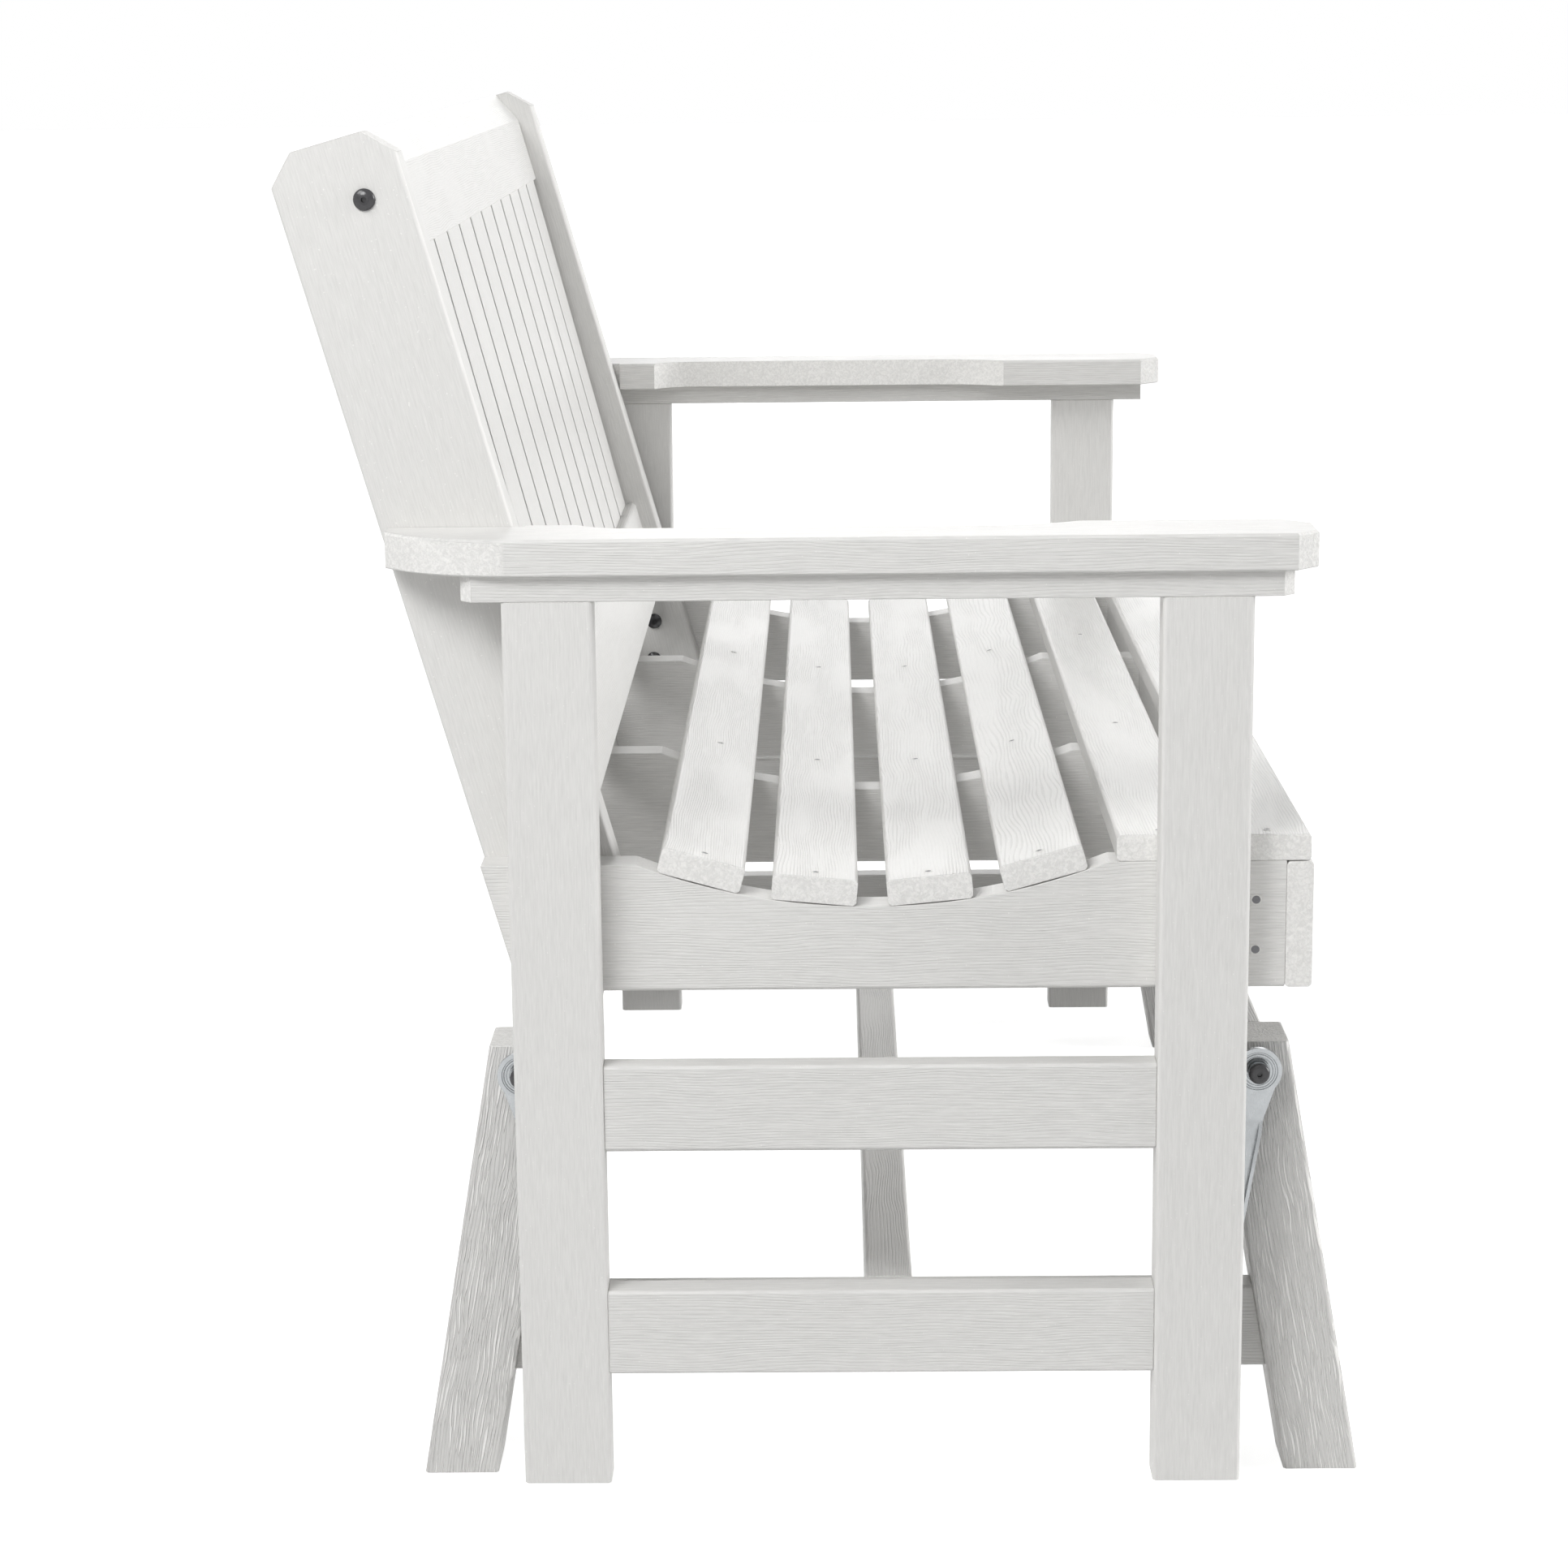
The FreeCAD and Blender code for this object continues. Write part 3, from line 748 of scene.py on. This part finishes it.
def pivot_bolt(bm, matrix, segments, length):
    """Black capped bolt on a zinc spacer, a shoulder and a hexagonal collar."""
    cap = [(0, 2.3), (1.95, 2.3, 6), (2.05, 0.45, 6), (2.5, 0.15), (3.4, 0.06)]
    cap += [(5.0, 0.16), (6.2, 0.5), (7.0, 1.05), (7.45, 1.8), (7.6, 2.7)]
    cap += [(7.6, 4.0), (7.4, 4.3), (6.0, 4.3)]
    add_lathe(bm, matrix, cap, segments)
    spacer = [(6.0, 4.2), (7.1, 4.2), (7.3, 4.5), (7.3, 10.9), (7.0, 11.2)]
    shoulder = [(6.0, 11.2), (6.0, 23.3)]
    collar = [(8.6, 23.3, 6), (9.0, 23.8, 6), (9.0, 29.0, 6)]
    below = shank(PIVOT_SHANK_RADIUS, 29.0, length)
    add_lathe(bm, matrix, spacer + shoulder + collar + below, segments, 1)


def bearing(bm, matrix, segments, open_bore):
    """Races and shield that show in a cup of a glider arm, set on its bolt. The
    open bore keeps clear of the bolt where the closed linkage is opened."""
    outer = [(11.4, 11.6), (11.4, 11.2), (13.7, 9.3), (13.6, 9.05), (12.9, 9.0)]
    outer += [(12.5, 9.15), (12.3, 9.5), (12.1, 9.5), (11.9, 9.3), (10.9, 9.35)]
    outer += [(10.5, 9.6)]
    if open_bore:
        inner = [(10.2, 10.4), (10.1, 11.6)]
    else:
        inner = [(10.2, 9.6), (10.0, 9.4), (8.6, 9.5), (8.3, 9.8), (7.8, 9.8)]
        inner += [(7.7, 11.6)]
    add_lathe(bm, matrix, outer + inner + outer[:1], segments)


def screw_head(bm, matrix, size=1.0):
    """Dark head with a square drive, in the raised lip of its countersink."""
    head = [(0, 0.38), (1.2, 0.36, 4), (1.3, 0.2, 4), (2.6, 0.18), (2.9, 0.24)]
    head += [(2.9, 0.9)]
    lip = [(2.9, 0.9), (2.95, 0.06), (3.1, 0.0), (3.5, 0.0), (3.9, 0.3), (3.9, 0.9)]
    for skin, rings in enumerate((head, lip)):
        grown = [(ring[0] * size, *ring[1:]) for ring in rings]
        add_lathe(bm, matrix, grown, SCREW_SEGMENTS, skin)


# ---------------------------------------------------------------- operators


LEG_CUT = 1 * MM  # a leg's level foot and top are found over this height
SLAT_END = 6 * MM  # and a back slat's ends, which are cut square, over this
RECESS_STEP = 1.2 * MM  # the armrest's recess lies this far in from its edge
CORNER_CURVE = 87 * MM  # its rear corner's curve begins this far from the rear
BACK_SLAT_ROUNDING = 4.0  # times the usual width
PIVOT_REACH = 0.1  # a bolt this near the middle of an arm, in metres, is its own
SCREW_PROUD = 0.42 * MM
SLAT_SCREW_SIZE = 0.8
RAIL_SCREW_DROPS = (28 * MM, 64 * MM)  # below the top of a side rail


class BenchOperator:
    bl_options = {"REGISTER", "UNDO"}


class BENCH_OT_base(BenchOperator, bpy.types.Operator):
    """Finish the still base: splayed legs, stretchers, top rails and beam"""

    bl_idname = "bench.base"
    bl_label = "Base boards"

    def execute(self, context):
        run = lean("base_leg_front_left", LEG_CUT)
        for end, grain in (("front", (0, run, 1)), ("rear", (0, -run, 1))):
            leg = lumber("leg_%s_lumber" % end, grain, "leg")
            dress_boards(leg, "base_leg_%s_SIDE" % end)
        stretcher = lumber("base_end_lumber", FRONT_TO_BACK, "slat")
        dress_boards(
            stretcher, "base_upper_stretcher_SIDE", "base_lower_stretcher_SIDE"
        )
        rail = lumber("base_rail_lumber", LENGTHWISE, "slat")
        dress_boards(rail, "base_top_rail_END", "base_centre_beam")
        return {"FINISHED"}


class BENCH_OT_seat_frame(BenchOperator, bpy.types.Operator):
    """Finish posts, stretchers, side rails, ribs, apron and cross rails"""

    bl_idname = "bench.seat_frame"
    bl_label = "Seat frame"

    def execute(self, context):
        post = lumber("post_lumber", UPRIGHT, "post")
        dress_boards(post, "seat_post_END_SIDE")
        rail = lumber("rail_lumber", FRONT_TO_BACK, "rail")
        dress_boards(rail, "end_upper_stretcher_SIDE", "end_lower_stretcher_SIDE")
        dress_boards(rail, "side_rail_SIDE", "seat_rib_SIDE")
        cross = lumber("cross_lumber", LENGTHWISE, "rail")
        dress_boards(cross, "front_apron", "front_cross_rail", "rear_cross_rail")
        return {"FINISHED"}


class BENCH_OT_armrests(BenchOperator, bpy.types.Operator):
    """Finish the armrests with their sawn recess and the strips below them"""

    bl_idname = "bench.armrests"
    bl_label = "Armrests"

    def execute(self, context):
        low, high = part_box("armrest_right")
        sawn = (low.x + RECESS_STEP, high.x, high.y - CORNER_CURVE)
        arm = lumber("armrest_lumber", FRONT_TO_BACK, "rail", sawn)
        dress_boards(arm, "armrest_SIDE")
        strip = lumber("support_lumber", FRONT_TO_BACK, "rail")
        dress_boards(strip, "arm_support_SIDE")
        return {"FINISHED"}


class BENCH_OT_slats(BenchOperator, bpy.types.Operator):
    """Finish the seat slats"""

    bl_idname = "bench.slats"
    bl_label = "Seat slats"

    def execute(self, context):
        slat = lumber("seat_slat_lumber", LENGTHWISE, "slat")
        for i in range(1, SEAT_SLATS + 1):
            dress_board("seat_slat_%d" % i, slat)
        return {"FINISHED"}


class BENCH_OT_back(BenchOperator, bpy.types.Operator):
    """Finish the stiles, the back's rails and its slats"""

    bl_idname = "bench.back"
    bl_label = "Back"

    def execute(self, context):
        grain = (0, lean("back_slat_06", SLAT_END), 1)
        dress_boards(lumber("stile_lumber", grain, "stile"), "back_stile_SIDE")
        slat = lumber("back_slat_lumber", grain, "back")
        for i in range(1, BACK_SLATS + 1):
            dress_board("back_slat_%02d" % i, slat, BACK_SLAT_ROUNDING)
        rail = lumber("back_rail_lumber", LENGTHWISE, "back")
        dress_boards(rail, "back_top_rail", "back_lower_rail")
        return {"FINISHED"}


class BENCH_OT_glider_arms(BenchOperator, bpy.types.Operator):
    """Finish the four glider arms and add the faces of their bearings"""

    bl_idname = "bench.glider_arms"
    bl_label = "Glider arms"

    def execute(self, context):
        look = context.scene.bench_hardware
        zinc = plated("zinc_plate", look.zinc)
        shield = plated("bearing_steel", look.zinc)
        pivots = [(*seat[:2], False) for seat in bolt_seats("upper_pivot_bolts")]
        pivots += [(*seat[:2], True) for seat in bolt_seats("lower_pivot_bolts")]
        for end, side in CORNERS:
            corner = "%s_%s" % (end, side)
            node = "glider_arm_" + corner
            dress_steel(node, zinc)
            low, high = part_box(node)
            middle = (low + high) / 2
            bm = bmesh.new()
            for centre, way, lower in pivots:
                off = centre - middle
                if abs(off.x) < PIVOT_REACH and abs(off.y) < PIVOT_REACH:
                    open_bore = lower and end == "rear"
                    bearing(bm, aim(centre, way), look.segments * 2, open_bore)
            if not bm.faces:
                raise RuntimeError("no pivot found for " + node)
            name, body = "bearings_" + corner, "arm_" + corner
            finish_piece(name, bm, [shield], body, BEARING_CREASE)
        return {"FINISHED"}


class BENCH_OT_bolts(BenchOperator, bpy.types.Operator):
    """Model the bolts with their heads, sockets, spacers and collars"""

    bl_idname = "bench.bolts"
    bl_label = "Bolts"

    def execute(self, context):
        look = context.scene.bench_hardware
        black = coated("bolt_coating", look.bolt)
        zinc = plated("collar_zinc", look.zinc)
        for node, body, shape, skins in (
            ("base_leg_bolts", "base", flat_bolt, [black]),
            ("frame_bolts", "seat", button_bolt, [black]),
            ("upper_pivot_bolts", "base", pivot_bolt, [black, zinc]),
            ("lower_pivot_bolts", "seat", pivot_bolt, [black, zinc]),
        ):
            bm = bmesh.new()
            for centre, way, length in bolt_seats(node):
                shape(bm, aim(centre, way), look.segments, length / MM)
            piece = finish_piece(node + "_turned", bm, skins, body)
            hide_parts(node)
        return {"FINISHED"}


def set_screws(name, seats, skins, size=1.0):
    """Screws at (point of a face, way into the board), a little proud of it."""
    bm = bmesh.new()
    for point, way in seats:
        screw_head(bm, aim(point - way * SCREW_PROUD, way), size)
    finish_piece(name, bm, skins, "seat")


class BENCH_OT_screws(BenchOperator, bpy.types.Operator):
    """Model the small flat head screws of the seat slats and side rails"""

    bl_idname = "bench.screws"
    bl_label = "Screws"

    def execute(self, context):
        steel = plated("screw_steel", context.scene.bench_hardware.screw)
        sunk = lumber("countersink_lumber", FRONT_TO_BACK, "post")
        side_low, side_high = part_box("side_rail_right")
        rib_low, rib_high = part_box("seat_rib_right")
        rows = ((side_low.x + side_high.x) / 2, (rib_low.x + rib_high.x) / 2)
        seats = []
        for i in range(1, SEAT_SLATS + 1):
            centre, normal = top_face("seat_slat_%d" % i)
            for x in rows:
                for sign in (-1, 1):
                    seats.append((Vector((sign * x, centre.y, centre.z)), -normal))
        set_screws("seat_slat_screws", seats, [steel, sunk], SLAT_SCREW_SIZE)
        cross_low, cross_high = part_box("front_cross_rail")
        middle = (cross_low.y + cross_high.y) / 2
        seats = []
        for sign in (-1, 1):
            for drop in RAIL_SCREW_DROPS:
                point = Vector((sign * side_high.x, middle, side_high.z - drop))
                seats.append((point, Vector((-sign, 0, 0))))
        set_screws("side_rail_screws", seats, [steel, sunk])
        return {"FINISHED"}


# ---------------------------------------------------------------- stage


WHITE = (1, 1, 1, 1)
FLOOR_SIZE = 60  # metres

# Distant lamps by their setting: azimuth in degrees from the near end, -X,
# toward the front, and height in degrees
SUN_LAMPS = {
    "key": (-45, 45),
    "near": (-25, 35),
    "front": (90, 15),
    "end": (180, 15),
}
SUN_SPREAD = 30  # degrees of sky that a distant lamp fills
SUN_DISTANCE = 4
WASH_PLACE = (-1.75, 0.55, 1.7)
WASH_RADIUS = 0.3

# Lens, place and turn solved from the photograph's perspective
LENS = 80.75
SENSOR_WIDTH = 36.0
CAMERA_PLACE = (-2.98568, 0.0, 1.05602)
CAMERA_TURN = (0.851, 12.472, -0.624)  # yaw, pitch and roll in degrees


def sun_lamp(name, azimuth, height, strength):
    """Distant lamp that shines on the bench from a direction."""
    data = bpy.data.lights.new(name, "SUN")
    data.angle = math.radians(SUN_SPREAD)
    data.energy = strength
    lamp = bpy.data.objects.new(name, data)
    turn, rise = math.radians(azimuth), math.radians(height)
    level = math.cos(rise)
    spot = Vector((-level * math.cos(turn), -level * math.sin(turn), math.sin(rise)))
    lamp.matrix_world = aim(spot * SUN_DISTANCE, spot)
    bpy.context.scene.collection.objects.link(lamp)


def wash_lamp(power):
    """Soft lamp beside the near end."""
    data = bpy.data.lights.new("wash_lamp", "POINT")
    data.shadow_soft_size = WASH_RADIUS
    data.energy = power
    lamp = bpy.data.objects.new("wash_lamp", data)
    lamp.location = WASH_PLACE
    bpy.context.scene.collection.objects.link(lamp)


def floor_paint(look):
    """Pale paint that takes shadows, and glows where it is seen."""
    web = Web(bpy.data.materials.new("floor_paint"))
    paint = web.add("ShaderNodeBsdfDiffuse")
    paint.inputs["Color"].default_value = (*look.floor, 1.0)
    glow = web.add("ShaderNodeEmission")
    glow.inputs["Color"].default_value = WHITE
    glow.inputs["Strength"].default_value = look.glow
    both = web.add("ShaderNodeAddShader")
    web.feed(both.inputs[0], paint.outputs[0])
    web.feed(both.inputs[1], glow.outputs[0])
    pick = web.add("ShaderNodeMixShader")
    web.feed(pick.inputs[0], web.seen())
    web.feed(pick.inputs[1], paint.outputs[0])
    web.feed(pick.inputs[2], both.outputs[0])
    web.feed(web.out.inputs["Surface"], pick.outputs[0])
    return web.owner


def studio(look):
    """World that lights evenly, and is white where it is seen."""
    sky = Web(bpy.data.worlds.new("studio"))
    back = sky.add("ShaderNodeBackground")
    back.inputs["Color"].default_value = WHITE
    sky.feed(back.inputs["Strength"], sky.mix(sky.seen(), look.sky, 1.0))
    sky.feed(sky.out.inputs["Surface"], back.outputs[0])
    return sky.owner


def photo_camera():
    """Camera at the photograph's viewing angle."""
    data = bpy.data.cameras.new("camera")
    data.sensor_width = SENSOR_WIDTH
    data.lens = LENS
    camera = bpy.data.objects.new("camera", data)
    yaw, pitch, roll = (math.radians(angle) for angle in CAMERA_TURN)
    level = math.cos(pitch)
    forward = Vector((level * math.cos(yaw), level * math.sin(yaw), -math.sin(pitch)))
    right = forward.cross(Vector(UPRIGHT)).normalized()
    up = right.cross(forward)
    across = right * math.cos(roll) + up * math.sin(roll)
    above = up * math.cos(roll) - right * math.sin(roll)
    turn = Matrix((across, above, -forward)).transposed().to_4x4()
    camera.matrix_world = Matrix.Translation(CAMERA_PLACE) @ turn
    return camera


class BENCH_OT_stage(BenchOperator, bpy.types.Operator):
    """Add the pale floor, the soft lamps and the camera"""

    bl_idname = "bench.stage"
    bl_label = "Stage"

    def execute(self, context):
        look = context.scene.bench_stage
        scene = context.scene
        scene.view_settings.view_transform = "Standard"

        bpy.ops.mesh.primitive_plane_add(size=FLOOR_SIZE)
        floor = context.object
        floor.name = "floor"
        floor.data.materials.append(floor_paint(look))

        scene.world = studio(look)
        for key, (azimuth, height) in SUN_LAMPS.items():
            sun_lamp(key + "_lamp", azimuth, height, getattr(look, key))
        wash_lamp(look.wash)

        camera = photo_camera()
        scene.collection.objects.link(camera)
        scene.camera = camera
        return {"FINISHED"}


# ---------------------------------------------------------------- panel


OPERATORS = (
    BENCH_OT_base,
    BENCH_OT_seat_frame,
    BENCH_OT_armrests,
    BENCH_OT_slats,
    BENCH_OT_back,
    BENCH_OT_glider_arms,
    BENCH_OT_bolts,
    BENCH_OT_screws,
    BENCH_OT_stage,
)


class BENCH_PT_panel(bpy.types.Panel):
    """Sidebar panel of the glider bench"""

    bl_idname = "BENCH_PT_panel"
    bl_label = "Glider Bench"
    bl_space_type = "VIEW_3D"
    bl_region_type = "UI"
    bl_category = "Glider Bench"

    def draw(self, context):
        scene = context.scene
        for group in (scene.bench_lumber, scene.bench_hardware, scene.bench_stage):
            box = self.layout.box()
            for key in group.__annotations__:
                box.prop(group, key)
        for operator in OPERATORS:
            self.layout.operator(operator.bl_idname)


CLASSES = (
    LumberSettings,
    HardwareSettings,
    StageSettings,
    *OPERATORS,
    BENCH_PT_panel,
)


def register():
    for cls in CLASSES:
        bpy.utils.register_class(cls)
    bpy.types.Scene.bench_lumber = PointerProperty(type=LumberSettings)
    bpy.types.Scene.bench_hardware = PointerProperty(type=HardwareSettings)
    bpy.types.Scene.bench_stage = PointerProperty(type=StageSettings)


def unregister():
    del bpy.types.Scene.bench_stage
    del bpy.types.Scene.bench_hardware
    del bpy.types.Scene.bench_lumber
    for cls in reversed(CLASSES):
        bpy.utils.unregister_class(cls)


def main():
    register()
    for operator in OPERATORS:
        group, name = operator.bl_idname.split(".")
        getattr(getattr(bpy.ops, group), name)()


if __name__ == "__main__":
    main()
